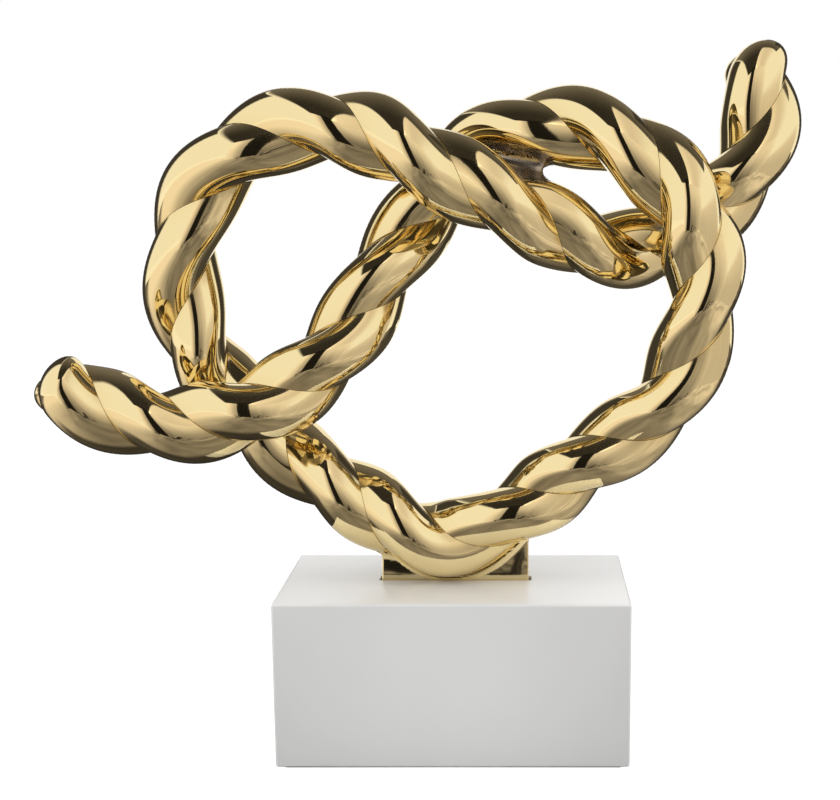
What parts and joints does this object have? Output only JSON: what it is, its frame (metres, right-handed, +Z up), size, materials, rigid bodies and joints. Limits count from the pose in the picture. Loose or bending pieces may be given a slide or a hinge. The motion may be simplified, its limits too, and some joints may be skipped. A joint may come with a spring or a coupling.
{
  "type": "knot sculpture",
  "caption": "Free-standing ornament: an open overhand knot in a thick twisted rope of mirror-polished gold metal, on a thin plate let into a plain white rectangular block.",
  "frame": {"origin": "centre of the felt face under the block, which the sculpture rests on", "axes": "+X to the right along the block's length, +Y from the front of the sculpture to its back, +Z up"},
  "size_m": [0.434, 0.1058, 0.4088],
  "materials": {
    "gold_plate": "gold plated and polished to a mirror",
    "crotch_gold": "gold plated, less polished in the crotches",
    "white_paint": "smooth matt white paint",
    "zinc_plate": "bright zinc plate",
    "felt": "thin charcoal felt"
  },
  "bodies": {
    "root": {"rope_strand_one": "gold_plate", "rope_strand_two": "gold_plate", "crossing_web_left": "crotch_gold", "crossing_web_top": "crotch_gold", "crossing_web_right": "crotch_gold", "mounting_plate": "gold_plate", "base_block": "white_paint", "threaded_rod_left": "zinc_plate", "threaded_rod_right": "zinc_plate", "washer_left": "zinc_plate", "washer_right": "zinc_plate", "nut_left": "zinc_plate", "nut_right": "zinc_plate", "felt_pad": "felt"}
  },
  "joints": []
}
